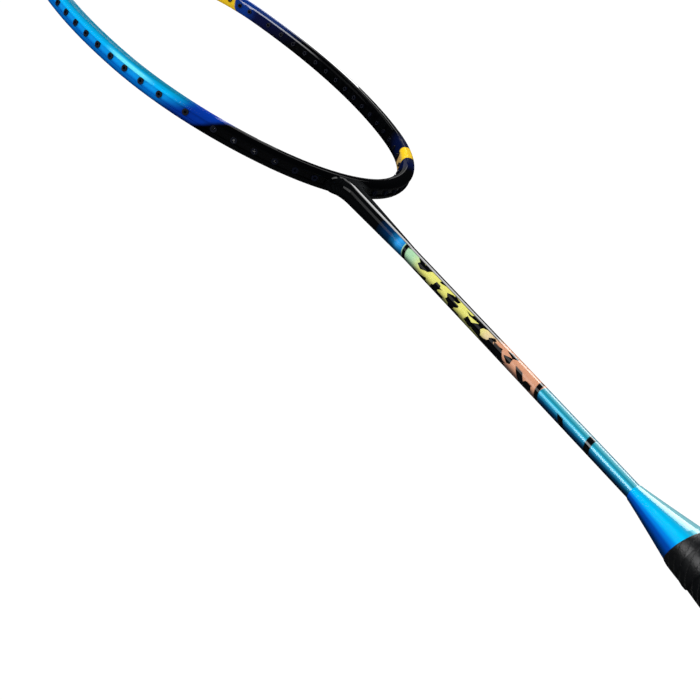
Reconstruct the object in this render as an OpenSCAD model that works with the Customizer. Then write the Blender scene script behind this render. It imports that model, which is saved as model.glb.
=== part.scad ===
// Full-size badminton racket, unstrung, lying flat.
// Origin: centre of the butt end face. +Y runs along the shaft to the head,
// +Z is the normal of the head's face. All sizes are in millimetres.

/* [Overall] */
// Length from the butt end face to the outside of the crown
overall_len = 675; // [660:1:680]

/* [Head] */
// Width of the head over the outside of the hoop
head_w = 202.4; // [198:0.2:212]
// Length of the hoop along its centreline, throat to crown
head_cl_len = 243.7; // [238:0.1:250]
// Depth of the hoop's section, in the plane of the head
section_w = 7.6; // [7:0.1:8.4]
// Height of the hoop's section, across the plane of the head
section_h = 9.5; // [9.2:0.1:11]
// Rounding radius of the section's corners
section_r = 3; // [2:0.1:3.2]
// Thickness of the laminate wall
wall_t = 1; // [0.8:0.1:1.3]
// Width of the string groove in the outer wall
groove_w = 3.5; // [3.3:0.1:4]
// Depth of the string groove
groove_d = 0.9; // [0.7:0.1:1.1]

/* [Grommets] */
// Diameter of a grommet's flange
flange_d = 3.2; // [3:0.1:3.4]
// Thickness of a grommet's flange
flange_t = 0.7; // [0.5:0.1:0.8]
// Outer diameter of a grommet's barrel
barrel_d = 2.4; // [2.2:0.1:2.6]
// Diameter of the string hole through a grommet
string_hole_d = 1.4; // [1.2:0.1:1.6]
// Distance between neighbouring cross-string holes, along the racket
cross_pitch = 9.85; // [9.7:0.05:10]
// Distance from the lowest cross-string hole up to the next one
last_pitch = 12.2; // [11.8:0.1:12.6]
// Distance between neighbouring main-string holes at the crown
main_pitch = 7.8; // [7.6:0.1:8]
// Distance along the hoop between neighbouring holes beside the throat
throat_pitch = 10.3; // [10.1:0.1:10.5]

/* [Shaft and neck] */
// Outer diameter of the shaft tube
shaft_d = 7.1; // [6.8:0.1:7.6]
// Inner diameter of the shaft tube
shaft_id = 4.6; // [4:0.1:5]
// Length of the neck below the hoop's centreline
neck_len = 58; // [50:1:64]
// Diameter of the neck where it meets the hoop
neck_top_d = 9.3; // [8.8:0.1:9.4]

/* [Handle] */
// Distance from the butt end face to the top edge of the grip
grip_top = 171.5; // [166:0.1:178]
// Length of the cone that shows above the grip
cone_len = 32; // [30:0.1:38]
// Distance across the flats of the wooden handle
core_flats = 21.1; // [20:0.1:22.5]
// Thickness of the wrapped grip over the handle
wrap_t = 1.5; // [1.2:0.1:1.8]
// Distance across the flats of the butt cap's flared end
cap_flats = 27.6; // [27:0.1:29]
// Length of the butt cap's flared end
cap_len = 9; // [8:0.5:11]

/* [Hidden] */
$fn = 64;

// Hoop outline: ten tangent arcs, five on each side. The turning angle runs from
// 0 at the crown to 180 at the throat, and the outward normal is [sin, cos] of it.
crown_r = 137.7;
throat_r = 80.1;
turn = [0, 21.4, 63.5, 105.2, 151.3, 180];
sn = [for (a = turn) sin(a)];
cs = [for (a = turn) cos(a)];
crown_y = overall_len - section_w / 2;
throat_y = crown_y - head_cl_len;
half_w_cl = (head_w - section_w) / 2;

// The three middle radii follow from the width, the length and the end radii:
// the outline reaches its full width at 90 degrees and closes on the centre line.
need_out = half_w_cl - crown_r * sn[1];
need_in = throat_r * sn[4] - half_w_cl;
need_len = head_cl_len - crown_r * (1 - cs[1]) - throat_r * (1 + cs[4]);
fall_2 = cs[1] - cs[2];
fall_3 = cs[2] - cs[3];
fall_4 = cs[3] - cs[4];
out_2 = sn[2] - sn[1];
in_4 = sn[4] - sn[3];
side_r = (need_len - fall_2 * need_out / out_2 - fall_4 * need_in / in_4)
    / (fall_3 - fall_2 * (1 - sn[2]) / out_2 - fall_4 * (sn[3] - 1) / in_4);
shoulder_r = (need_out - (1 - sn[2]) * side_r) / out_2;
lower_r = (need_in - (sn[3] - 1) * side_r) / in_4;
arc_r = [crown_r, shoulder_r, side_r, lower_r, throat_r];

// Start point of each arc on the right-hand side, from the crown down.
function arc_start(i) = i == 0
    ? [0, crown_y]
    : arc_start(i - 1) + arc_r[i - 1] * [sn[i] - sn[i - 1], cs[i] - cs[i - 1]];
starts = [for (i = [0:4]) arc_start(i)];

// Point of the centreline at turning angle a on arc i.
function on_arc(i, a) = starts[i] + arc_r[i] * [sin(a) - sn[i], cos(a) - cs[i]];

// A hole is [arc, turning angle].
function hole_at_x(i, x) = [i, asin(sn[i] + (x - starts[i][0]) / arc_r[i])];
function hole_at_y(i, y) = [i, acos(cs[i] + (y - starts[i][1]) / arc_r[i])];
function arc_of_y(y) = y > starts[2][1] ? 1 : y > starts[3][1] ? 2 : 3;
function row_hole(y) = hole_at_y(arc_of_y(y), y);
function deg_of(length, radius) = length / radius * 180 / PI;

// Main-string holes across the crown, nine on each side of the centre line.
crown_count = 9;
crown_xs = [for (k = [0:crown_count - 1]) main_pitch * (k + 0.5)];
crown_holes = [for (x = crown_xs) hole_at_x(x > starts[1][0] ? 1 : 0, x)];

// Cross-string holes down each side, the middle two half a pitch off full width.
waist_y = starts[2][1] + side_r * (0 - cs[2]);
row_y = waist_y + cross_pitch / 2;
rows_above = 7;
rows_below = 8;
upper_holes = [
    for (k = [rows_above:-1:1]) row_hole(row_y + k * cross_pitch)
];
last_y = row_y - rows_below * cross_pitch - last_pitch;
lower_holes = [
    for (k = [0:rows_below]) row_hole(row_y - k * cross_pitch),
    row_hole(last_y)
];

// Two shoulder holes share out the bend between the crown's last and the side's first.
bend_from = crown_holes[crown_count - 1][1];
bend_to = upper_holes[0][1];
shoulder_holes = [for (k = [1:2]) [1, bend_from + (bend_to - bend_from) * k / 3]];

// Throat holes run on from the last side hole, evenly along the hoop.
throat_count = 7;
throat_arc_len = throat_r * (180 - turn[4]) * PI / 180;
function throat_hole(s) = s < throat_arc_len
    ? [4, 180 - deg_of(s, throat_r)]
    : [3, turn[4] - deg_of(s - throat_arc_len, lower_r)];
throat_first = 9.2;
throat_holes = [for (k = [throat_count - 1:-1:0]) throat_hole(throat_first + k * throat_pitch)];

// Holes within 4 degrees of a racket axis are drilled true to that axis.
snap = 4;
function drill(a) = abs(a) < snap ? 0 : abs(a - 90) < snap ? 90 : a;

// Hollow of the hoop: the outer wall is thicker by the depth of the groove.
hollow_w = section_w - 2 * wall_t - groove_d;
hollow_h = section_h - 2 * wall_t;
hollow_r = section_r - wall_t;
hollow_out = -groove_d / 2 + hollow_w / 2;
fit = 0.1;
inside_reach = 0.8;
groove_floor = section_w / 2 - groove_d;
lap_len = 1;
lap_t = 0.02;

// Neck and joint.
neck_y = throat_y - neck_len;
stem_r = 3.2;
arm_deg = 11.2;
spigot_len = 25;
neck_reach = neck_len - section_w / 2;
neck_power = 0.8;
neck_extra = 1.2;
neck_square = 0.8;
web_r = 8;
neck_even = neck_reach - web_r;

// Handle.
cone_tip_y = grip_top + cone_len;
cone_tip_r = 3.95;
cone_edge_r = 9.84;
tape_t = 0.25;
tape_w = 7.5;
tape_edge = 0.1;
tape_bevel = 2;
taper = 0.0726;
skirt_y = 150;
full_y = 110;
skirt_r = cone_edge_r + (grip_top - skirt_y) * taper - (wrap_t - tape_t);
core_top_y = 168;
nose_r = 6;
shaft_low_y = 62;
bore_clear = 0.05;
cap_plate = 5;
cap_skirt_y = 17;
cap_skirt_t = 1.1;
badge_r = 8;
badge_t = 0.8;
brad_y = 13;
brad_r = 0.7;
brad_len = 8;
brad_head_r = 1.4;
brad_head_t = 0.4;

// Rectangle with rounded corners, centred.
module rounded_box(w, h, r) {
    square([w - 2 * r, h], center = true);
    square([w, h - 2 * r], center = true);
    for (x = [-1, 1]) {
        for (y = [-1, 1]) {
            translate([x * (w / 2 - r), y * (h / 2 - r)])
                circle(r);
        }
    }
}

// Profile of the hoop, outside to the right, with its skin thickened by g.
module hoop_section(g = 0) {
    difference() {
        rounded_box(section_w + 2 * g, section_h + 2 * g, section_r + g);
        translate([groove_floor + g, g - groove_w / 2])
            square([groove_d + 1, groove_w - 2 * g]);
        translate([-groove_d / 2, 0])
            rounded_box(hollow_w - 2 * g, hollow_h - 2 * g, hollow_r - g);
    }
}

// Sweeps a profile along arc i between two turning angles, on the right-hand side.
module sweep_arc(i, a0, a1) {
    middle = starts[i] - arc_r[i] * [sn[i], cs[i]];
    translate([middle[0], middle[1], 0])
        rotate([0, 0, 90 - a1])
            rotate_extrude(angle = a1 - a0, $fn = 180)
                translate([arc_r[i], 0])
                    children();
}

// Lap joint of the laminate, a hair thicker, where arc i begins.
module lap(i) {
    p = starts[i];
    translate([p[0], p[1], 0])
        rotate([90, 0, 90 - turn[i]])
            linear_extrude(lap_len, center = true)
                hoop_section(lap_t);
}

module both_sides() {
    children();
    mirror([1, 0, 0])
        children();
}

// Places children on the centreline with +Z along the drilling direction.
module at_hole(h) {
    p = on_arc(h[0], h[1]);
    translate([p[0], p[1], 0])
        rotate([0, 0, -drill(h[1])])
            rotate([-90, 0, 0])
                children();
}

module drillings(holes, d) {
    for (h = holes) {
        at_hole(h)
            cylinder(h = 2 * section_w, d = d, center = true, $fn = 24);
    }
}

all_holes = concat(crown_holes, shoulder_holes, upper_holes, lower_holes, throat_holes);

// Moulded hollow loop of the head, with its string groove and drillings.
module hoop() {
    color("#0a62c8")
        difference() {
            union() {
                sweep_arc(0, -turn[1], turn[1])
                    hoop_section();
                sweep_arc(4, turn[4], 360 - turn[4])
                    hoop_section();
                both_sides() {
                    for (i = [1:3]) {
                        sweep_arc(i, turn[i], turn[i + 1])
                            hoop_section();
                    }
                    for (i = [1:4]) {
                        lap(i);
                    }
                }
            }
            both_sides()
                drillings(all_holes, barrel_d + fit);
            translate([0, throat_y - hollow_out, 0])
                rotate([90, 0, 0])
                    cylinder(h = section_w, r = stem_r + fit / 2);
        }
}

// Half-height and half-width of the neck, d above its lower end: a fillet of
// radius web_r widens it in the plane of the head where it meets the hoop.
function neck_b(d) = shaft_d / 2 + (neck_top_d - shaft_d) / 2 * pow(d / neck_reach, neck_power);
function web(d) = let (e = max(0, web_r - (neck_reach - d)))
    e < web_r ? web_r - sqrt(web_r * web_r - e * e) : web_r;
function neck_a(d) = neck_b(d) + neck_extra * d / neck_reach + web(d);

// Point of a rounded section: a circle below, nearer a rounded box at the hoop.
function bulge(v, n) = sign(v) * pow(abs(v), 2 / n);
function neck_point(d, u) = let (n = 2 + neck_square * d / neck_reach)
    [neck_a(d) * bulge(cos(u), n), neck_y + d, neck_b(d) * bulge(sin(u), n)];
neck_rings = concat(
    [for (k = [0:8]) neck_even * k / 8],
    [for (k = [1:8]) neck_even + (neck_reach - neck_even) * (1 - pow(1 - k / 8, 1.6))],
    [neck_reach + 2]
);
neck_sides = 32;

// Blend from the shaft's round up to the hoop, cut to the hoop's outer wall.
module neck_blend() {
    rings = len(neck_rings);
    points = [
        for (d = neck_rings)
            for (j = [0:neck_sides - 1])
                neck_point(min(d, neck_reach), 360 * j / neck_sides) + [0, max(0, d - neck_reach), 0]
    ];
    skin = [
        for (i = [0:rings - 2])
            for (j = [0:neck_sides - 1])
                let (a = i * neck_sides + j, b = i * neck_sides + (j + 1) % neck_sides)
                    [a, b, b + neck_sides, a + neck_sides]
    ];
    low_cap = [for (j = [neck_sides - 1:-1:0]) j];
    high_cap = [for (j = [0:neck_sides - 1]) (rings - 1) * neck_sides + j];
    difference() {
        polyhedron(points, concat(skin, [low_cap, high_cap]));
        sweep_arc(4, 165, 195)
            rounded_box(section_w, section_h, section_r);
    }
}

// T-shaped joint: arms inside the hoop, a stem through its wall, a spigot in the shaft.
module throat_joint() {
    color("#101114")
        union() {
            difference() {
                sweep_arc(4, 180 - arm_deg, 180 + arm_deg)
                    translate([-groove_d / 2, 0])
                        rounded_box(hollow_w - fit, hollow_h - fit, hollow_r - fit / 2);
                both_sides()
                    drillings([throat_holes[throat_count - 1]], barrel_d + fit);
            }
            translate([0, throat_y, 0])
                rotate([90, 0, 0])
                    cylinder(h = neck_len - 1, r = stem_r);
            neck_blend();
            translate([0, neck_y + 1, 0])
                rotate([90, 0, 0])
                    cylinder(h = spigot_len + 1, d = shaft_id - fit);
        }
}

// Straight carbon tube from inside the handle up to the neck.
module shaft() {
    color("#1c6fd0")
        translate([0, neck_y, 0])
            rotate([90, 0, 0])
                difference() {
                    cylinder(h = neck_y - shaft_low_y, d = shaft_d);
                    translate([0, 0, -1])
                        cylinder(h = neck_y - shaft_low_y + 2, d = shaft_id);
                }
}

// Turns a profile of [radius, distance from the butt] about the racket's long axis.
module turned(profile) {
    rotate([90, 0, 0])
        mirror([0, 0, 1])
            rotate_extrude($fn = 96)
                polygon(profile);
}

module bar(r, y0, y1, faces = 96) {
    translate([0, y1, 0])
        rotate([90, 0, 0])
            cylinder(h = y1 - y0, r = r, $fn = faces);
}

// Octagonal bar with its flats square to Z, given the distance across flats.
module octagon_bar(flats, y0, y1) {
    translate([0, y1, 0])
        rotate([90, 22.5, 0])
            cylinder(h = y1 - y0, r = flats / 2 / cos(22.5), $fn = 8);
}

// Outside of cone skirt and handle, under the wrap. It grows by g all round.
function under_r(y) = y > skirt_y
    ? cone_edge_r + (skirt_r - cone_edge_r) * (grip_top - y) / (grip_top - skirt_y)
    : skirt_r + (skirt_y - y) * taper;

// Cone's shape over its visible length: a hollow flare with a short rounded tip.
cone_steps = 20;
cone_power = 1.05;
function cone_r(t) = cone_tip_r + (cone_edge_r - cone_tip_r) * pow(t, cone_power);

// Tapered plastic sleeve between shaft and grip, seated on the handle's nose.
module cone_cap() {
    color("#0fa6f2")
        difference() {
            turned(concat(
                [[0, skirt_y], [skirt_r, skirt_y]],
                [for (k = [0:cone_steps])
                    [cone_r(1 - k / cone_steps), grip_top + (cone_len - 0.4) * k / cone_steps]],
                [[cone_tip_r - 0.3, cone_tip_y], [0, cone_tip_y]]
            ));
            bar(shaft_d / 2 + bore_clear, skirt_y - 1, cone_tip_y + 1);
            bar(nose_r + bore_clear, skirt_y - 1, core_top_y);
        }
}

// Eight-sided wooden handle, tapered at the top and bored for the shaft.
module handle_core() {
    color("#c9a878")
        difference() {
            union() {
                intersection() {
                    octagon_bar(core_flats, cap_skirt_y, skirt_y);
                    turned([
                        [0, cap_skirt_y], [core_flats, cap_skirt_y],
                        [core_flats, full_y], [under_r(full_y), full_y],
                        [under_r(skirt_y), skirt_y], [0, skirt_y]
                    ]);
                }
                octagon_bar(core_flats - 2 * cap_skirt_t, cap_plate, cap_skirt_y + 1);
                bar(nose_r, skirt_y - 1, core_top_y - 0.1);
            }
            bar(shaft_d / 2 + bore_clear, shaft_low_y - 2, core_top_y + 1);
            brad_cuts();
        }
}

module brad_cuts() {
    both_sides()
        translate([core_flats / 2 - brad_len, brad_y, 0])
            rotate([0, 90, 0])
                cylinder(h = 2 * brad_len, r = brad_r, $fn = 24);
}

// Flared eight-sided cap over the handle's end, with a recess for the badge.
module butt_cap() {
    flare_low = cap_flats / 2 / cos(22.5);
    color("#15161a")
        difference() {
            union() {
                intersection() {
                    octagon_bar(cap_flats, 0, cap_len);
                    turned([
                        [0, 0], [flare_low - 1.6, 0], [flare_low - 0.9, 0.35], [flare_low - 0.4, 1],
                        [flare_low - 0.2, 2], [flare_low - 0.3, 3.5], [flare_low - 0.9, 6],
                        [flare_low - 1.7, cap_len - 0.6], [flare_low - 2.2, cap_len], [0, cap_len]
                    ]);
                }
                octagon_bar(core_flats, cap_len - 1, cap_skirt_y);
            }
            octagon_bar(core_flats - 2 * cap_skirt_t, cap_plate, cap_skirt_y + 1);
            bar(badge_r, -1, badge_t);
            brad_cuts();
            both_sides()
                translate([core_flats / 2 - brad_head_t, brad_y, 0])
                    rotate([0, 90, 0])
                        cylinder(h = 2, r = brad_head_r, $fn = 32);
        }
}

// Round plate set flush in the end of the butt cap.
module butt_badge() {
    color("#0fa6f2")
        bar(badge_r, 0, badge_t);
}

// Two brads that hold the butt cap on the handle.
module cap_brads() {
    color("#b9bcc0")
        both_sides() {
            translate([core_flats / 2 - brad_len + 1, brad_y, 0])
                rotate([0, 90, 0])
                    cylinder(h = brad_len - 1, r = brad_r, $fn = 24);
            translate([core_flats / 2 - brad_head_t, brad_y, 0])
                rotate([0, 90, 0])
                    cylinder(h = brad_head_t, r = brad_head_r, $fn = 32);
        }
}

// Outside and inside of the grip differ by the wrap's thickness.
module grip_form(g, y0, y1) {
    intersection() {
        octagon_bar(core_flats + 2 * g, y0, y1);
        turned([
            [0, y0], [core_flats, y0], [core_flats, full_y], [under_r(full_y) + g, full_y],
            [skirt_r + g, skirt_y], [cone_edge_r + g * tape_t / wrap_t, grip_top], [0, grip_top]
        ]);
    }
}

// Wrapped cushion grip from the butt cap up over the cone's skirt.
module grip_wrap() {
    color("#1b1c1f")
        difference() {
            grip_form(wrap_t, cap_len, grip_top);
            grip_form(0, cap_len - 1, grip_top + 1);
            tape_ring(1);
        }
}

// Ring of the finishing tape: over the wrap's last few millimetres.
module tape_ring(over) {
    low = grip_top - tape_w;
    r_low = under_r(low) + wrap_t / 2;
    r_top = cone_edge_r;
    r_bevel = r_top + tape_t + (r_low - r_top - tape_t) * tape_bevel / tape_w;
    turned([
        [r_low - tape_t, low], [r_low + over, low], [r_bevel + over, grip_top - tape_bevel],
        [r_top + tape_edge + over, grip_top + over / 2], [r_top, grip_top + over / 2]
    ]);
}

// Band of tape that closes the top of the wrap.
module finishing_tape() {
    color("#0c0d0f")
        tape_ring(0);
}

// Grommets: a flange in the groove and a barrel through both walls.
module grommet() {
    difference() {
        union() {
            translate([0, 0, -section_w / 2 - inside_reach])
                cylinder(h = section_w / 2 + inside_reach + groove_floor + flange_t, d = barrel_d, $fn = 32);
            translate([0, 0, groove_floor])
                cylinder(h = flange_t, d = flange_d, $fn = 32);
        }
        cylinder(h = 3 * section_w, d = string_hole_d, center = true, $fn = 24);
    }
}

module grommets(holes) {
    color("#0b0b0d")
        for (h = holes) {
            at_hole(h)
                grommet();
        }
}

module on_left() {
    mirror([1, 0, 0])
        children();
}

hoop();
throat_joint();
shaft();
cone_cap();
handle_core();
butt_cap();
butt_badge();
cap_brads();
grip_wrap();
finishing_tape();
both_sides() grommets(crown_holes);  // grommets_crown
on_left() grommets(shoulder_holes);  // grommets_shoulder_left
grommets(shoulder_holes);  // grommets_shoulder_right
on_left() grommets(upper_holes);  // grommets_side_left_upper
on_left() grommets(lower_holes);  // grommets_side_left_lower
grommets(upper_holes);  // grommets_side_right_upper
grommets(lower_holes);  // grommets_side_right_lower
on_left() grommets(throat_holes);  // grommets_throat_left
grommets(throat_holes);  // grommets_throat_right
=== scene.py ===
import math

import bmesh
import bpy
from mathutils import Matrix, Vector


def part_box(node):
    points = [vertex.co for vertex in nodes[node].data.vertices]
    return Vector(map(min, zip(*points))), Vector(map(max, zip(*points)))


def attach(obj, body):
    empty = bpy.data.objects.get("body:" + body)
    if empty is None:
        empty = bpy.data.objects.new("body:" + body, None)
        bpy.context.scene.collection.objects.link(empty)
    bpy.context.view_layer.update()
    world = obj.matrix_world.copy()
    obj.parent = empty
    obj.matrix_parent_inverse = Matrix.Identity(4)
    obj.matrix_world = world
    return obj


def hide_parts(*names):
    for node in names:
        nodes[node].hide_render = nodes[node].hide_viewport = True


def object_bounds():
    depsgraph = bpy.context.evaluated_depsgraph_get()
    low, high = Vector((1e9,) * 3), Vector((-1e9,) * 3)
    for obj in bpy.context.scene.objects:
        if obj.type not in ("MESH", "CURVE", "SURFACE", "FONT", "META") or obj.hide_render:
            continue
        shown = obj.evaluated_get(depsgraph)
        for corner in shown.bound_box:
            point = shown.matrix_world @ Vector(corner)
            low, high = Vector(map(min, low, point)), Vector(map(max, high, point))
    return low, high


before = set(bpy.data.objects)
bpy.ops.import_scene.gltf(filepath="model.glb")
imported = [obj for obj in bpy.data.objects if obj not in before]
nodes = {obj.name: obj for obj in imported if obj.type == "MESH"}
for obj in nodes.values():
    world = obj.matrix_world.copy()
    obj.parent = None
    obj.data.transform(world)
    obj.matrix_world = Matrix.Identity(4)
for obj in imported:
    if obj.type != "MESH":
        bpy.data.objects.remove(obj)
cad_low, cad_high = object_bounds()
scene = bpy.context.scene

# ---------------------------------------------------------------- sizes
# The racket lies flat. Y runs from the butt to the head, Z is up, and the photograph shows the -X side.
# The sizes here are in mm. MM turns them into metres for the shaders and the finished meshes.
MM = 0.001

hoop_half_w = 3.8
throat_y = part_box("hoop")[0].y / MM + hoop_half_w
throat_r = 80.1

shaft_r = 3.55
neck_len = 58.0
neck_y = throat_y - neck_len
neck_reach = neck_len - hoop_half_w
neck_top_r = 4.65
web_r = 8.0

cone_low, cone_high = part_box("cone_cap")
grip_low, grip_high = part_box("grip_wrap")
grip_top = grip_high.y / MM
cone_top = cone_high.y / MM
skirt_y = cone_low.y / MM
skirt_r = cone_high.x / MM
cone_edge_r = 9.84
cone_tip_r = 3.95
cone_lip_r = 0.33
cone_flare = cone_top - 0.5 - grip_top
core_top_y = 168.0

wrap_t = 1.5
wrap_pitch = 22.4
wrap_top = grip_top - 7.5
wrap_low = grip_low.y / MM
wrap_high = wrap_top + 1.0
handle_taper = 0.0726
tape_t = 0.25


# ---------------------------------------------------------------- shader maths
class Sig:
    """A shader value that builds Math nodes as it is used in arithmetic."""

    def __init__(self, tree, socket):
        self.tree = tree
        self.socket = socket

    def _op(self, kind, *others):
        node = self.tree.nodes.new("ShaderNodeMath")
        node.operation = kind
        for i, value in enumerate((self, *others)):
            if isinstance(value, Sig):
                self.tree.links.new(value.socket, node.inputs[i])
            else:
                node.inputs[i].default_value = value
        return Sig(self.tree, node.outputs[0])

    def __add__(self, o):
        return self._op("ADD", o)

    def __sub__(self, o):
        return self._op("SUBTRACT", o)

    def __rsub__(self, o):
        return self * -1.0 + o

    def __mul__(self, o):
        return self._op("MULTIPLY", o)

    def __truediv__(self, o):
        return self._op("DIVIDE", o)

    def abs(self):
        return self._op("ABSOLUTE")

    def max(self, o):
        return self._op("MAXIMUM", o)

    def frac(self):
        return self._op("FRACT")

    def floor(self):
        return self._op("FLOOR")

    def sqrt(self):
        return self._op("SQRT")

    def atan2(self, o):
        return self._op("ARCTAN2", o)

    def step(self, low, high):
        """0 below low, 1 above high, smooth between; low may exceed high, which turns it round."""
        node = self.tree.nodes.new("ShaderNodeMapRange")
        node.interpolation_type = "SMOOTHSTEP"
        self.tree.links.new(self.socket, node.inputs["Value"])
        a, b, lo, hi = (low, high, 0.0, 1.0) if low < high else (high, low, 1.0, 0.0)
        node.inputs["From Min"].default_value = a
        node.inputs["From Max"].default_value = b
        node.inputs["To Min"].default_value = lo
        node.inputs["To Max"].default_value = hi
        return Sig(self.tree, node.outputs["Result"])

    def band(self, a, b, c, d):
        """0 below a, 1 from b to c, 0 above d, smooth between."""
        return self.step(a, b) * self.step(d, c)


# Across the long axis, the way that the photographed side faces, as X and Z.
NEAR_SIDE = (-0.867, 0.497)


class Paint:
    """A Principled material with object-space coordinates at hand."""

    def __init__(self, name, **sockets):
        self.mat = bpy.data.materials.new(name)
        self.mat.use_nodes = True
        self.tree = self.mat.node_tree
        self.bsdf = self.tree.nodes["Principled BSDF"]
        for key, value in sockets.items():
            self.bsdf.inputs[key.replace("_", " ")].default_value = value
        self.coords = self.tree.nodes.new("ShaderNodeTexCoord")
        self.x, self.y, self.z = self.parts(self.coords.outputs["Object"])

    def parts(self, socket):
        """The three components of a vector or colour socket."""
        node = self.tree.nodes.new("ShaderNodeSeparateXYZ")
        self.tree.links.new(socket, node.inputs[0])
        return [Sig(self.tree, output) for output in node.outputs]

    def normal(self):
        return self.parts(self.coords.outputs["Normal"])

    def angle(self):
        """Radians about the long axis, 0 where the surface faces the near side, growing upwards."""
        x, z = NEAR_SIDE
        face = self.x * x + self.z * z
        side = self.x * z + self.z * -x
        return side.atan2(face)

    def noise(self, scale, detail, rough):
        node = self.tree.nodes.new("ShaderNodeTexNoise")
        node.inputs["Scale"].default_value = scale
        node.inputs["Detail"].default_value = detail
        node.inputs["Roughness"].default_value = rough
        self.tree.links.new(self.coords.outputs["Object"], node.inputs["Vector"])
        return Sig(self.tree, node.outputs["Fac"])

    def wave(self):
        """Slow noise about 0 that keeps painted edges from being straight."""
        return self.noise(60.0, 2.0, 0.5) - 0.5

    def mix(self, fac, a, b):
        """Colour a where fac is 0 and b where it is 1."""
        node = self.tree.nodes.new("ShaderNodeMix")
        node.data_type = "RGBA"
        for key, value in (("A", a), ("B", b)):
            socket = next(s for s in node.inputs if s.name == key and s.type == "RGBA")
            if isinstance(value, tuple):
                socket.default_value = (*value, 1.0)
            else:
                self.tree.links.new(value, socket)
        fac_in = next(s for s in node.inputs if s.name == "Factor" and s.type == "VALUE")
        self.tree.links.new(fac.socket, fac_in)
        return next(s for s in node.outputs if s.type == "RGBA")

    def ramp(self, value, stops):
        """Colour at value along smooth stops of (position, colour)."""
        low, high = stops[0][0], stops[-1][0]
        node = self.tree.nodes.new("ShaderNodeValToRGB")
        node.color_ramp.interpolation = "EASE"
        points = node.color_ramp.elements
        while len(points) < len(stops):
            points.new(0.5)
        for point, (at, rgb) in zip(points, stops):
            point.position = (at - low) / (high - low)
            point.color = (*rgb, 1.0)
        share = (value - low) * (1.0 / (high - low))
        self.tree.links.new(share.socket, node.inputs["Fac"])
        return node.outputs["Color"]

    def shards(self, u, v, scale):
        """One random value, 0 to 1, for each sharp-edged cell of the two coordinates."""
        join = self.tree.nodes.new("ShaderNodeCombineXYZ")
        self.tree.links.new(u.socket, join.inputs[0])
        self.tree.links.new(v.socket, join.inputs[1])
        node = self.tree.nodes.new("ShaderNodeTexVoronoi")
        node.voronoi_dimensions = "2D"
        node.inputs["Scale"].default_value = scale
        self.tree.links.new(join.outputs[0], node.inputs["Vector"])
        return self.parts(node.outputs["Color"])[0]

    def set(self, name, value):
        socket = value.socket if isinstance(value, Sig) else value
        self.tree.links.new(socket, self.bsdf.inputs[name])

    def bump(self, height, distance, strength):
        node = self.tree.nodes.new("ShaderNodeBump")
        node.inputs["Strength"].default_value = strength
        node.inputs["Distance"].default_value = distance
        self.tree.links.new(height.socket, node.inputs["Height"])
        self.tree.links.new(node.outputs[0], self.bsdf.inputs["Normal"])


# ---------------------------------------------------------------- colours
BLACK = (0.0008, 0.0009, 0.0012)
FLECK = (0.0045, 0.0050, 0.0056)
TOW = (0.008, 0.009, 0.010)
NAVY = (0.002, 0.005, 0.032)
ROYAL = (0.002, 0.034, 0.31)
# Colour of the painted highlight on the hoop's left side.
PAINTED_HIGHLIGHT_CYAN = (0.16, 0.86, 1.00)
YELLOW = (0.95, 0.60, 0.02)
OCHRE = (0.46, 0.29, 0.10)
UMBER = (0.012, 0.004, 0.004)
LEMON = (0.80, 0.76, 0.18)
MINT = (0.42, 0.70, 0.42)
PEACH = (0.80, 0.62, 0.34)
SALMON = (0.68, 0.32, 0.19)
# Colour of the painted shade on the shaft's lower side.
PAINTED_SHADE = (0.001, 0.008, 0.016)
SHOULDER_SIDE = (0.003, 0.005, 0.038)
SHOULDER_TOP = (0.010, 0.032, 0.16)
SHOULDER_END = (0.004, 0.034, 0.23)

# Azure of the hoop's left side, by height in metres from its middle plane: painted shade towards the lower
# and upper edges, and a painted highlight band above the middle.
AZURE_STOPS = (
    (-4.4 * MM, (0.001, 0.050, 0.22)),
    (-2.4 * MM, (0.0015, 0.13, 0.48)),
    (0.0 * MM, (0.005, 0.34, 0.88)),
    (2.6 * MM, (0.004, 0.50, 1.00)),
    (3.6 * MM, (0.002, 0.38, 0.72)),
    (4.7 * MM, (0.002, 0.17, 0.28)),
)
# Upper part of the shaft, by place along it in metres.
INK_STOPS = (
    (0.2700, SALMON),
    (0.2980, SALMON),
    (0.3050, PEACH),
    (0.3140, LEMON),
    (0.3560, LEMON),
    (0.3680, MINT),
    (0.3740, MINT),
)
# Where that part ends below the neck.
BLUE_STOPS = (
    (0.3740, (0.006, 0.20, 0.52)),
    (0.3780, (0.030, 0.34, 0.80)),
    (0.3815, (0.004, 0.11, 0.28)),
    (0.3850, (0.001, 0.022, 0.08)),
    (0.3940, (0.001, 0.006, 0.02)),
)
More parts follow.
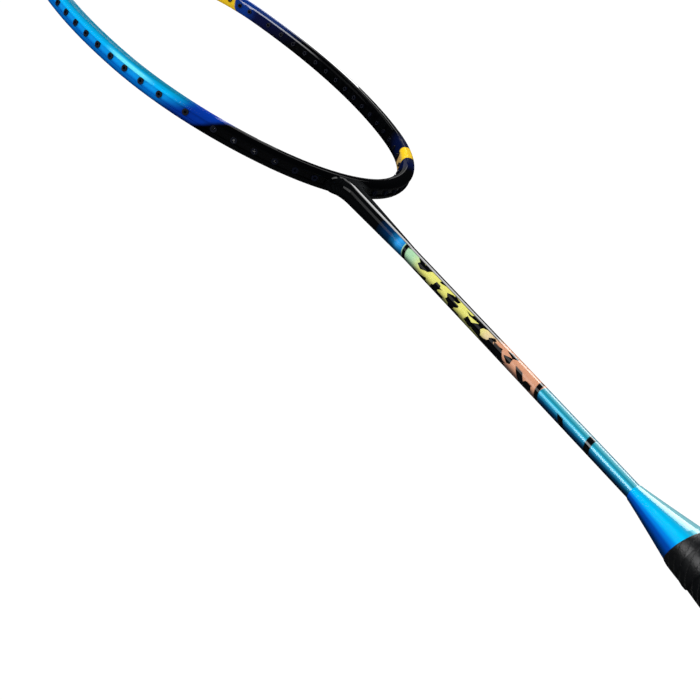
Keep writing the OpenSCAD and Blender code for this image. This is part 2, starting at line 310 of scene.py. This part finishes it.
# Lower part of the shaft and the cone, by angle from the near side in radians: painted shade on the lower
# side, a painted highlight band just below the middle, and a paler painted reflection strip on the upper
# side.
TEAL_STOPS = (
    (-1.9, (0.006, 0.20, 0.36)),
    (-1.5, (0.001, 0.006, 0.018)),
    (-1.1, (0.001, 0.006, 0.018)),
    (-0.75, (0.001, 0.035, 0.095)),
    (-0.42, (0.010, 0.19, 0.36)),
    (-0.22, (0.060, 0.45, 0.66)),
    (-0.08, (0.090, 0.66, 0.90)),
    (0.10, (0.018, 0.34, 0.50)),
    (0.24, (0.012, 0.23, 0.32)),
    (0.44, (0.055, 0.35, 0.44)),
    (0.58, (0.13, 0.46, 0.54)),
    (0.80, (0.13, 0.36, 0.44)),
    (1.2, (0.10, 0.25, 0.31)),
    (1.5, (0.10, 0.25, 0.31)),
    (1.9, (0.006, 0.20, 0.36)),
)
CONE_STOPS = (
    (-1.9, (0.001, 0.22, 0.66)),
    (-1.5, (0.001, 0.012, 0.065)),
    (-1.15, (0.001, 0.012, 0.065)),
    (-0.67, (0.001, 0.065, 0.43)),
    (-0.42, (0.0015, 0.24, 0.85)),
    (-0.20, (0.002, 0.52, 1.00)),
    (0.02, (0.001, 0.58, 0.98)),
    (0.22, (0.001, 0.44, 0.78)),
    (0.42, (0.03, 0.40, 0.58)),
    (0.55, (0.26, 0.70, 0.80)),
    (0.68, (0.32, 0.72, 0.78)),
    (0.82, (0.20, 0.46, 0.49)),
    (1.2, (0.16, 0.36, 0.40)),
    (1.5, (0.16, 0.36, 0.40)),
    (1.9, (0.001, 0.22, 0.66)),
)
# Black strokes round the shaft: place and width in metres, first and last angle, lean in metres a radian.
STROKES = (
    (0.3728, 0.0024, -1.8, 0.9, 0.0012),
    (0.2988, 0.0060, -1.8, 0.1, 0.0040),
    (0.2830, 0.0050, -1.8, 0.0, 0.0040),
    (0.2695, 0.0026, -1.8, 1.2, 0.0012),
    (0.2535, 0.0038, -1.8, -0.28, 0.0030),
    (0.2343, 0.0036, -1.8, 0.9, 0.0010),
)

LACQUER = {"Specular_IOR_Level": 0.0, "Coat_Roughness": 0.03, "Coat_IOR": 1.5}


def carbon(along, around, pitch):
    """Twill brightness, 0 to 1, of tows pitch wide on the two surface coordinates."""
    u = along / pitch
    v = around / pitch
    cell = (u.floor() + v.floor()) / 4.0
    warp = (cell.frac() * 4.0).step(1.4, 1.6)
    thread_u = (u.frac() - 0.5).abs() * 2.0
    thread_v = (v.frac() - 0.5).abs() * 2.0
    over = (1.0 - thread_v * thread_v) * warp
    under = (1.0 - thread_u * thread_u) * (1.0 - warp)
    return over * 0.9 + under * 0.45


# ---------------------------------------------------------------- hoop finish
# Here y is the distance in metres from the hoop's centre line at the throat towards the crown.
head_middle = 0.125
head_r = 0.113


def left_blues(p, y, low_line):
    """Azure with a painted highlight band across it, royal blue below it turning navy towards its lower edge
    as painted shade, and royal fading to navy towards the crown.
    """
    # Painted highlight: a paler cyan band on the upper part of the wall.
    painted_highlight = p.z.band(1.0 * MM, 2.2 * MM, 3.0 * MM, 3.9 * MM) * y.band(0.052, 0.062, 0.074, 0.086)
    azure = p.mix(painted_highlight, p.ramp(p.z, AZURE_STOPS), PAINTED_HIGHLIGHT_CYAN)
    # Painted shade: the royal turns navy towards the wall's lower edge.
    royal = p.mix(p.z.step(-1.0 * MM, -4.0 * MM) * 0.7, ROYAL, NAVY)
    upper = p.mix(y.step(0.21, 0.24), ROYAL, NAVY)
    blue = p.mix(low_line.step(0.0385, 0.0510), royal, azure)
    return p.mix((y + p.x * 0.45).step(0.190, 0.160), upper, blue)


def throat_mark(p, body, y, right, wave):
    """Navy band with a yellow slash across it, on the right near the throat."""
    low = y - p.z * 0.6
    navy = low.band(0.022, 0.032, 0.062, 0.074) * p.z.step(-3.0 * MM, 1.0 * MM)
    cut = low + wave * 0.004
    slash = cut.band(0.0398, 0.0406, 0.0534, 0.0542)
    nick = p.z.step(2.6 * MM, 1.8 * MM) * cut.step(0.0508, 0.0514)
    gold = p.mix(p.z.step(1.0 * MM, 3.4 * MM), OCHRE, YELLOW)
    body = p.mix(right * navy, body, NAVY)
    return p.mix(right * slash, body, p.mix(nick, gold, UMBER))


def shoulder_mark(p, body, y, right):
    """Blue band that ends in a yellow patch, on the right at the shoulder."""
    band = (y + p.z).band(0.176, 0.204, 0.221, 0.226)
    blue = p.mix(p.z.step(1.5 * MM, 3.5 * MM), SHOULDER_SIDE, SHOULDER_TOP)
    blue = p.mix(y.step(0.2060, 0.2130), blue, SHOULDER_END)
    patch = (y - p.z * 0.25).band(0.2187, 0.2195, 0.2325, 0.2335) * p.x.step(0.03, 0.04)
    body = p.mix(right * band, body, blue)
    return p.mix(right * patch, body, YELLOW)


def hoop_coat(p, y, left, right, inward, up):
    """Strength of the lacquer's mirror: faint inside the head, on the left, at the throat, in the groove."""
    satin = inward.step(0.02, 0.2) * y.step(0.196, 0.154) * 0.97
    top = p.z.step(3.8 * MM, 4.4 * MM) * y.step(0.060, 0.075)
    dull = left * y.step(0.0230, 0.0300) * (0.975 - top * 0.12)
    rim = p.z.step(1.5 * MM, 3.0 * MM) * (y - right * 0.010).step(0.032, 0.024) * 0.9
    groove = (up * p.z).step(-0.2 * MM, -0.6 * MM)
    return 1.0 - satin.max(dull).max(rim).max(groove)


def hoop_material():
    """Black lacquer over carbon, blue on the left, with two bands on the right."""
    p = Paint("hoop_lacquer", **LACQUER)
    y = p.y - throat_y * MM
    left = p.x.step(0.015, -0.015)
    right = p.x.step(0.0, 0.01)
    wave = p.wave()
    # Direction and distance from the middle of the head.
    dy = y - head_middle
    reach = (p.x * p.x + dy * dy).sqrt()
    nx, ny, nz = p.normal()
    inward = (nx * p.x + ny * dy) / reach * -1.0

    weave = carbon(p.x.atan2(dy) * head_r, reach * 0.9 + p.z, 1.3 * MM)
    mottle = p.noise(260.0, 4.0, 0.65).step(0.35, 0.75)
    body = p.mix(weave * mottle * inward.step(0.1, 0.5), BLACK, FLECK)
    low_line = y + p.z * 1.15 + wave * 0.006
    body = p.mix(left * low_line.step(0.0275, 0.0312), body, left_blues(p, y, low_line))
    body = throat_mark(p, body, y, right, wave)
    body = shoulder_mark(p, body, y, right)
    p.set("Base Color", body)
    p.set("Roughness", weave * 0.10 + 0.28)
    p.set("Coat Weight", hoop_coat(p, y, left, right, inward, nz))
    return p.mat


# ---------------------------------------------------------------- shaft finish
# Here y is a place along the shaft in metres, and phi the angle from the near side. The marks sit
# ink_shift nearer the butt than the places that are written for them.
ink_shift = 2.5 * MM


def stroke(y, phi, at, width, low, high, lean):
    """1 on a stroke round the tube between two angles."""
    half = width / 2
    soft = 0.3 * MM
    fade = 0.1
    across = (y - at - phi * lean).abs().step(half + soft, half - soft)
    return across * phi.band(low - fade, low + fade, high - fade, high + fade)


def shaft_black(y, phi, shards, lower):
    """1 where black covers the colours: shards, strokes, the tube's far side and its top end."""
    black = (shards - (phi * 0.16 + 0.68)).step(-0.01, 0.01) * y.band(0.2705, 0.2725, 0.3715, 0.3735)
    for row in STROKES:
        black = black.max(stroke(y, phi, *row))
    black = black.max(phi.step(0.46, 0.54) * y.step(0.2960, 0.3040))
    black = black.max(phi.abs().step(1.5, 1.7) * (1.0 - lower))
    return black.max(y.step(0.3925, 0.3940))


def shaft_material():
    """Black, then mint to salmon broken up by shards and darkened by painted shade on the lower side, then
    teal down to the cone with painted shade, highlight and reflection round it.
    """
    p = Paint("shaft_lacquer", Roughness=0.30, **LACQUER)
    y = p.y + ink_shift
    phi = p.angle()
    lower = y.step(0.2686, 0.2680)
    ink = p.ramp(y + p.wave() * 0.006, INK_STOPS)
    ink = p.mix((y - phi * 0.0012).step(0.3742, 0.3748), ink, p.ramp(y, BLUE_STOPS))
    # Painted shade: the upper shaft's colours darken towards its lower side.
    ink = p.mix(phi.step(-0.30, -1.10) * 0.85, ink, PAINTED_SHADE)
    # Teal by angle, holding its painted shade, painted highlight and painted reflection strip.
    ink = p.mix(lower, ink, p.ramp(phi, TEAL_STOPS))

    shards = p.shards(phi * 0.0050 + y * 0.45, y * 0.62 - phi * 0.0016, 290.0)
    around = phi * 0.0036
    weave = carbon(y + around, around - y, 1.0 * MM)
    p.set("Base Color", p.mix(shaft_black(y, phi, shards, lower), ink, p.mix(weave * 0.4, BLACK, TOW)))
    gloss = phi.step(0.32, 0.44).max(y.step(0.310, 0.268) * 0.4).max(phi.step(-1.2, -1.6))
    p.set("Coat Weight", gloss * 0.84 + 0.16)
    return p.mat


# ---------------------------------------------------------------- other finishes
def plain(name, rgb, grain, scale, **sockets):
    """One colour, a fifth lighter and darker in places; grain is the bump's height in metres."""
    p = Paint(name, **sockets)
    tone = p.noise(scale, 3.0, 0.6)
    dark = tuple(c * 0.8 for c in rgb)
    light = tuple(min(1.0, c * 1.2) for c in rgb)
    p.set("Base Color", p.mix(tone, dark, light))
    if grain:
        p.bump(tone, grain, 0.6)
    return p.mat


def cone_material():
    """Bright blue plastic, glossier along its upper side, with painted shade below, a painted highlight and
    a pale painted reflection strip, all by angle.
    """
    p = Paint("cone_gloss", Specular_IOR_Level=0.0, Coat_Roughness=0.05)
    phi = p.angle()
    speck = p.noise(1400.0, 2.0, 0.6)
    gloss = phi.band(0.24, 0.38, 0.74, 0.92).max(phi.step(-1.3, -1.6))
    # Colour by angle holds painted shade, a painted highlight and a painted reflection strip.
    p.set("Base Color", p.mix(speck * 0.10, p.ramp(phi, CONE_STOPS), (0.0, 0.12, 0.36)))
    p.set("Roughness", speck * 0.12 + 0.24)
    p.set("Coat Weight", gloss * 0.94 + 0.06)
    return p.mat


def grip_material(name):
    """Black cushion: creased, grained, and pricked with staggered pits that follow the winding."""
    pit_rows = 6.0
    pits_round = 120.0
    p = Paint(name, Specular_IOR_Level=0.25)
    tone = p.noise(75.0, 4.0, 0.62)
    fine = p.noise(1100.0, 4.0, 0.6)
    around = p.x.atan2(p.z) / (2 * math.pi)
    climb = (p.y / (wrap_pitch * MM) - around) * pit_rows
    ring = around * pits_round
    dx = (ring + climb.floor() * 0.5).frac() - 0.5
    dc = climb.frac() - 0.5
    pit = (dx * dx * 0.12 + dc * dc).sqrt().step(0.10, 0.04)
    p.set("Base Color", p.mix(tone, (0.0016, 0.0017, 0.0020), (0.0064, 0.0072, 0.0086)))
    p.set("Roughness", tone * 0.25 + 0.20)
    p.bump(fine * 0.35 + tone * 0.5 - pit * 0.9, 0.4 * MM, 0.8)
    return p.mat


# ---------------------------------------------------------------- mesh helpers
def give(node, material):
    """Paints a CAD node that keeps its own mesh."""
    data = nodes[node].data
    data.materials.clear()
    data.materials.append(material)


def piece(name, shells, material, node, crease):
    """Joins shells of (vertices, faces) into one object that stands for a CAD node."""
    verts, faces = [], []
    for v, f in shells:
        faces += [tuple(i + len(verts) for i in face) for face in f]
        verts += v
    data = bpy.data.meshes.new(name)
    data.from_pydata(verts, [], faces)
    bm = bmesh.new()
    bm.from_mesh(data)
    bmesh.ops.remove_doubles(bm, verts=bm.verts, dist=1e-6)
    bmesh.ops.dissolve_degenerate(bm, edges=bm.edges, dist=1e-6)
    bmesh.ops.recalc_face_normals(bm, faces=bm.faces)
    for face in bm.faces:
        face.smooth = True
    bm.to_mesh(data)
    bm.free()
    data.set_sharp_from_angle(angle=math.radians(crease))
    data.materials.append(material)
    obj = bpy.data.objects.new(name, data)
    scene.collection.objects.link(obj)
    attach(obj, "root")
    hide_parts(node)


def skin(rings, loop=False, ends=True):
    """Faces between rings of equal length; loop joins last to first, ends closes them."""
    n = len(rings[0])
    verts = [tuple(v) for ring in rings for v in ring]
    faces = []
    count = len(rings)
    for i in range(count if loop else count - 1):
        a, b = i * n, (i + 1) % count * n
        for j in range(n):
            k = (j + 1) % n
            faces.append((a + j, a + k, b + k, b + j))
    if ends and not loop:
        for i in (0, count - 1):
            centre = len(verts)
            verts.append(tuple(sum(c) / n for c in zip(*rings[i])))
            faces += [(centre, i * n + j, i * n + (j + 1) % n) for j in range(n)]
    return verts, faces


def angles(count):
    return [2 * math.pi * j / count for j in range(count)]


def axis_point(r, u, y):
    """Point at radius r and u radians about the long axis, y along it."""
    return (r * math.cos(u) * MM, y * MM, r * math.sin(u) * MM)


def turned(profile, count=96, loop=False):
    """Round surface about the long axis from points of (radius, y)."""
    return skin([[axis_point(r, u, y) for u in angles(count)] for r, y in profile], loop=loop)


def squared(value, power):
    """Signed power, which draws a circle's cosine or sine out towards a box's."""
    return math.copysign(abs(value) ** power, value)


def soft_octagon(u, apothem, limit, power):
    """Radius at angle u of an octagon with its flats square to Z, kept inside a circle."""
    total = (1.0 / limit) ** power
    for k in range(8):
        total += (max(0.0, math.cos(u - k * math.pi / 4)) / apothem) ** power
    return total ** (-1.0 / power)


# ---------------------------------------------------------------- neck
def neck_ring(d, count=96):
    """Section of the neck d above its foot: the shaft's round grows into a box with a web each side."""
    inside = min(d, neck_reach)
    s = inside / neck_reach
    fillet = max(0.0, web_r - (neck_reach - inside))
    web = web_r - math.sqrt(web_r * web_r - fillet * fillet)
    half_h = shaft_r + (neck_top_r - shaft_r) * s**0.8
    half_w = half_h + 1.2 * s + web
    power = 2 / (2.0 + 0.8 * s)
    ring = []
    for u in angles(count):
        x = half_w * squared(math.cos(u), power)
        z = half_h * squared(math.sin(u), power)
        ring.append((x * MM, (neck_y + d) * MM, z * MM))
    return ring


def arm_ring(t, count=48):
    """Rounded box inside the hollow hoop, t radians from the centre line."""
    half_w = 2.3
    half_h = 3.7
    inset = 0.45
    power = 0.6
    ring = []
    for u in angles(count):
        r = throat_r - inset + half_w * squared(math.cos(u), power)
        z = half_h * squared(math.sin(u), power)
        ring.append((r * math.sin(t) * MM, (throat_y + throat_r - r * math.cos(t)) * MM, z * MM))
    return ring


def throat_shells():
    """Neck, the two arms of the T-joint in the hoop, its stem, and its spigot down the shaft."""
    even = neck_reach - web_r
    part = [k / 24 for k in range(24)]
    steps = [even * s for s in part]
    steps += [even + web_r * (1 - (1 - s) ** 1.6) for s in (*part, 1.0)]
    steps.append(neck_reach + 2.0)
    neck = skin([neck_ring(d) for d in steps])
    arm_deg = 11.2
    arm_steps = 16
    arms = skin([arm_ring(math.radians(arm_deg * (2 * k / arm_steps - 1))) for k in range(arm_steps + 1)])
    stem_r = 3.2
    stem = turned([(stem_r, throat_y - 4.0), (stem_r, throat_y)], 48)
    spigot_r = 2.25
    spigot_y = neck_y - 25.0
    spigot = turned([(spigot_r - 0.3, spigot_y), (spigot_r, spigot_y + 0.3), (spigot_r, neck_y + 1.0)], 48)
    return [neck, arms, stem, spigot]


# ---------------------------------------------------------------- cone
def cone_radius(y):
    """Outside of the cone: its skirt under the grip, then its hollow flare."""
    if y <= grip_top:
        return cone_edge_r + (skirt_r - cone_edge_r) * (grip_top - y) / (grip_top - skirt_y)
    return cone_tip_r + (cone_edge_r - cone_tip_r) * ((cone_flare + grip_top - y) / cone_flare) ** 1.05


def cone_shell():
    """Cone with a rounded lip, bored for the shaft and for the handle's nose."""
    shaft_bore_r = shaft_r + 0.05
    nose_bore_r = 6.05
    flare_steps = 49
    lip_steps = 5
    outer = [(cone_radius(y), y) for y in (skirt_y, (skirt_y + grip_top) / 2)]
    for k in range(flare_steps):
        y = grip_top + cone_flare * k / flare_steps
        outer.append((cone_radius(y), y))
    for k in range(lip_steps + 1):
        a = math.pi / 2 * k / lip_steps
        lip_r = cone_tip_r - cone_lip_r + cone_lip_r * math.cos(a)
        outer.append((lip_r, cone_top - cone_lip_r + cone_lip_r * math.sin(a)))
    inner = [
        (shaft_bore_r, cone_top - 0.2), (shaft_bore_r, core_top_y),
        (nose_bore_r, core_top_y), (nose_bore_r, skirt_y),
    ]
    return turned(outer + inner, 128, loop=True)


# ---------------------------------------------------------------- grip
# Across the strip: share of the pitch, and how far its face stands up there. The lower edge laps over the
# turn below, and the strip thins out towards the next one.
LAP = (
    (0.0, 0.0), (0.010, 0.22), (0.022, 0.42), (0.040, 0.52), (0.07, 0.55), (0.13, 0.53), (0.2, 0.50),
    (0.3, 0.47), (0.4, 0.43), (0.5, 0.38), (0.6, 0.31), (0.7, 0.23), (0.8, 0.15), (0.9, 0.07), (0.96, 0.02),
)


def handle_radius(y):
    """Outside of the wrap where it is round: over the cone's skirt and over the wood's taper."""
    at_skirt = skirt_r + wrap_t
    if y > skirt_y:
        return at_skirt + (cone_edge_r + tape_t - at_skirt) * (y - skirt_y) / (grip_top - skirt_y)
    return at_skirt + (skirt_y - y) * handle_taper


def wound_rings(count):
    """Rings of the wrap's face that climb one pitch in a turn, cut off at both ends of the wrap."""
    flat = 12.05
    sunk = 0.28
    ease = 3.0
    rings = []
    for t in range(-2, int((wrap_high - wrap_low) / wrap_pitch) + 2):
        for step, rise in LAP:
            ring = []
            for j, u in enumerate(angles(count)):
                y = wrap_low + wrap_pitch * (t + step + j / count)
                y = min(max(y, wrap_low), wrap_high)
                r = soft_octagon(u, flat, handle_radius(y), 30.0) - sunk
                r += rise * min(1.0, (wrap_high - y) / ease)
                ring.append(axis_point(r, u, y))
            rings.append(ring)
    return rings


def grip_shell():
    """A strip wound up the handle, each turn lapping over the one below, with its inside wall."""
    count = 160
    outer = wound_rings(count)
    verts = [v for ring in outer for v in ring]
    faces = []
    top_ring = len(outer) - len(LAP) - 1
    for i in range(top_ring):
        for j in range(count):
            a = i * count + j
            b = a + 1 if j < count - 1 else (i + len(LAP)) * count
            faces.append((a, b, b + count, a + count))

    inner_flat = 10.58
    depth = 1.42
    inner = []
    for y in (wrap_low, 60.0, 110.0, skirt_y, wrap_high):
        limit = handle_radius(y) - depth
        inner.append([axis_point(soft_octagon(u, inner_flat, limit, 60.0), u, y) for u in angles(count)])
    base = len(verts)
    inner_verts, inner_faces = skin(inner, ends=False)
    verts += inner_verts
    faces += [tuple(i + base for i in face) for face in inner_faces]

    # Both ends, from the outside to the inside wall.
    for outside, inside in ((0, base), (top_ring * count, base + (len(inner) - 1) * count)):
        for j in range(count):
            k = (j + 1) % count
            faces.append((outside + j, outside + k, inside + k, inside + j))
    return verts, faces


def tape_shell():
    """Band over the wrap's last millimetres, wound a little askew, its own end lapped over its start."""
    lift = 0.35
    tilt = 2.6
    tilt_at = math.radians(285.0)
    seam_from, seam_to = 0.9, 1.9
    seam_rise = 0.04
    outside = (
        (0.0, -0.30), (0.007, -0.06), (0.04, 0.02), (0.33, 0.05), (0.53, 0.03),
        (0.73, 0.00), (0.89, -0.04), (0.985, -0.11), (1.0, -0.15),
    )
    inside = ((1.0, -0.27), (0.53, -0.30))
    rings = []
    for part, out in outside + inside:
        ring = []
        for u in angles(128):
            edge = grip_top + lift + tilt * math.cos(u - tilt_at)
            y = wrap_top + (edge - wrap_top) * part
            layer = tape_t + (wrap_t - tape_t) * max(0.0, grip_top - y) / (grip_top - skirt_y)
            seam = seam_rise if seam_from < u < seam_to and out > -0.2 else 0.0
            ring.append(axis_point(cone_radius(y) + layer + out + seam, u, y))
        rings.append(ring)
    return skin(rings, loop=True)


# ---------------------------------------------------------------- butt cap and badge
def cap_shell():
    """Flared cap with a rounded rim, its skirt on the wood, and the recess for the badge."""
    circle = 40.0
    flare = 13.8
    skirt = 10.55
    skirt_in = 9.45
    # y, distance to the flats, radius at the corners, and how sharp the corners are. Flats as far out as
    # circle leave a circle.
    rows = (
        (0.8, circle, 7.99, 30), (0.0, circle, 8.0, 30), (0.0, circle, 8.35, 30), (0.12, circle, 8.6, 30),
        (0.12, circle, 9.3, 30), (0.0, circle, 9.6, 30), (0.0, flare, 13.0, 40), (0.08, flare, 13.5, 40),
        (0.3, flare, 13.95, 40), (0.7, flare, 14.32, 40), (1.3, flare, 14.6, 40), (2.2, flare, 14.74, 40),
        (3.5, flare, 14.64, 40), (4.8, flare, 14.4, 40), (6.0, flare, 14.04, 40), (7.2, flare, 13.65, 40),
        (8.3, flare, 13.24, 40), (8.8, flare, 12.95, 40), (9.0, flare, 12.6, 40),
        (9.0, skirt, 11.4, 60), (16.8, skirt, 11.4, 60), (17.0, skirt - 0.15, 11.2, 60),
        (17.0, skirt_in, 10.2, 60), (5.0, skirt_in, 10.2, 60),
    )
    rings = []
    for y, flat, limit, power in rows:
        rings.append([axis_point(soft_octagon(u, flat, limit, float(power)), u, y) for u in angles(160)])
    return skin(rings)


def badge_shell():
    """Round plate with a shallow dish in its face."""
    profile = [(5.9, 0.22), (6.3, 0.22), (6.55, 0.02), (7.6, 0.02), (7.9, 0.15), (7.95, 0.4), (7.95, 0.8)]
    return turned(profile)


# ---------------------------------------------------------------- pieces
shaft_paint = shaft_material()
cap_paint = plain("cap_moulding", (0.010, 0.010, 0.012), 0.05 * MM, 2500.0, Roughness=0.42)
badge_paint = plain("badge_satin", (0.002, 0.24, 0.66), 0.02 * MM, 2500.0, Roughness=0.3)
nylon_rgb = (0.0022, 0.0035, 0.0110)
nylon = plain("grommet_nylon", nylon_rgb, 0.02 * MM, 3000.0, Roughness=0.42, Specular_IOR_Level=0.2)
beech = plain("beech", (0.55, 0.38, 0.2), 0.2 * MM, 120.0, Roughness=0.6)
steel = plain("brad_steel", (0.55, 0.56, 0.58), 0.0, 900.0, Metallic=1.0, Roughness=0.3)

give("hoop", hoop_material())
give("shaft", shaft_paint)
give("handle_core", beech)
give("cap_brads", steel)
for name in nodes:
    if name.startswith("grommets"):
        give(name, nylon)
piece("neck", throat_shells(), shaft_paint, "throat_joint", 50.0)
piece("cone", [cone_shell()], cone_material(), "cone_cap", 50.0)
piece("wrap", [grip_shell()], grip_material("grip_cushion"), "grip_wrap", 60.0)
piece("top_tape", [tape_shell()], grip_material("tape_cushion"), "finishing_tape", 50.0)
piece("end_cap", [cap_shell()], cap_paint, "butt_cap", 35.0)
piece("end_badge", [badge_shell()], badge_paint, "butt_badge", 30.0)


# ---------------------------------------------------------------- room
def glow(tree, kind, rgb, strength):
    node = tree.nodes.new(kind)
    node.inputs["Color"].default_value = (*rgb, 1.0)
    node.inputs["Strength"].default_value = strength
    return node.outputs[0]


def matt(tree, rgb):
    node = tree.nodes.new("ShaderNodeBsdfDiffuse")
    node.inputs["Color"].default_value = (*rgb, 1.0)
    return node.outputs[0]


def split_by_ray(tree, camera_socket, glossy_socket, other_socket, out_socket):
    """Shows one shader to the camera, one to reflections and one to all other rays."""
    paths = tree.nodes.new("ShaderNodeLightPath")
    first = tree.nodes.new("ShaderNodeMixShader")
    tree.links.new(paths.outputs["Is Glossy Ray"], first.inputs[0])
    tree.links.new(other_socket, first.inputs[1])
    tree.links.new(glossy_socket, first.inputs[2])
    second = tree.nodes.new("ShaderNodeMixShader")
    tree.links.new(paths.outputs["Is Camera Ray"], second.inputs[0])
    tree.links.new(first.outputs[0], second.inputs[1])
    tree.links.new(camera_socket, second.inputs[2])
    tree.links.new(second.outputs[0], out_socket)


def make_world():
    """White to the camera, almost dark to reflections, and soft light for the rest."""
    world = bpy.data.worlds.new("studio")
    scene.world = world
    world.use_nodes = True
    tree = world.node_tree
    tree.nodes.clear()
    out = tree.nodes.new("ShaderNodeOutputWorld")
    split_by_ray(
        tree,
        glow(tree, "ShaderNodeBackground", (1.0, 1.0, 1.0), 1.05),
        glow(tree, "ShaderNodeBackground", (0.9, 0.95, 1.0), 0.05),
        glow(tree, "ShaderNodeBackground", (0.95, 0.98, 1.0), 0.75),
        out.inputs["Surface"],
    )


def floor_material():
    """White to the camera, dark to reflections, grey paper for the rest."""
    mat = bpy.data.materials.new("floor_paper")
    mat.use_nodes = True
    tree = mat.node_tree
    tree.nodes.clear()
    out = tree.nodes.new("ShaderNodeOutputMaterial")
    split_by_ray(
        tree,
        glow(tree, "ShaderNodeEmission", (1.0, 1.0, 1.0), 1.05),
        matt(tree, (0.03, 0.03, 0.03)),
        matt(tree, (0.55, 0.56, 0.58)),
        out.inputs["Surface"],
    )
    return mat


make_world()
floor_half = 30.0
floor_z = cad_low.z
floor_mesh = bpy.data.meshes.new("floor")
corners = [(x * floor_half, y * floor_half, floor_z) for x, y in ((-1, -1), (1, -1), (1, 1), (-1, 1))]
floor_mesh.from_pydata(corners, [], [(0, 1, 2, 3)])
floor_mesh.materials.append(floor_material())
floor = bpy.data.objects.new("floor", floor_mesh)
scene.collection.objects.link(floor)


# ---------------------------------------------------------------- lights
light_distance = 4.0
# Name, azimuth from +X towards +Y, lowest and highest elevation, width, radiance, and whether the light is
# seen by reflections alone; the others light everything else.
LIGHTS = (
    ("ledge_strip", 58.5, 17.1, 27.0, 1.4, 4.0, True),
    ("horizon_strip", 58.0, 1.0, 16.0, 1.6, 5.0, True),
    ("front_strip", 179.0, 4.0, 30.0, 4.2, 9.0, True),
    ("back_window", 57.0, 34.5, 53.0, 3.2, 6.5, True),
    ("side_strip", 140.0, 4.0, 31.0, 2.3, 4.0, True),
    ("overhead", 45.0, 18.0, 66.0, 8.0, 1.6, False),
    ("front_fill", 205.0, 20.0, 60.0, 3.0, 2.0, False),
)


def softbox(name, azimuth, low, high, width, radiance, glossy):
    """Rectangular light that faces the throat, between two elevations."""
    light = bpy.data.lights.new(name, "AREA")
    light.shape = "RECTANGLE"
    height = 2 * light_distance * math.tan(math.radians(high - low) / 2)
    light.size = width
    light.size_y = height
    light.energy = radiance * math.pi * width * height
    obj = bpy.data.objects.new(name, light)
    obj.visible_camera = False
    obj.visible_diffuse = not glossy
    obj.visible_glossy = glossy
    a, e = math.radians(azimuth), math.radians((low + high) / 2)
    way = Vector((math.cos(a) * math.cos(e), math.sin(a) * math.cos(e), math.sin(e)))
    obj.location = Vector((0.0, throat_y * MM, 0.0)) + way * light_distance
    obj.rotation_euler = way.to_track_quat("Z", "Y").to_euler()
    scene.collection.objects.link(obj)


for row in LIGHTS:
    softbox(*row)

# ---------------------------------------------------------------- camera
camera_at = Vector((-0.53236, -0.10254, 0.2323))
camera_right = Vector((0.71276, -0.50989, 0.48164))
camera_up = Vector((-0.10518, 0.60122, 0.79213))
camera_back = camera_right.cross(camera_up).normalized()
camera_turn = Matrix((camera_right, camera_up, camera_back)).transposed()
camera_data = bpy.data.cameras.new("camera")
camera_data.sensor_width = 36.0
camera_data.lens = 84.58
camera_data.clip_start = 0.01
camera_data.clip_end = 100.0
camera = bpy.data.objects.new("camera", camera_data)
camera.matrix_world = Matrix.Translation(camera_at) @ camera_turn.to_4x4()
scene.collection.objects.link(camera)
scene.camera = camera

scene.view_settings.view_transform = "Standard"
scene.view_settings.look = "None"
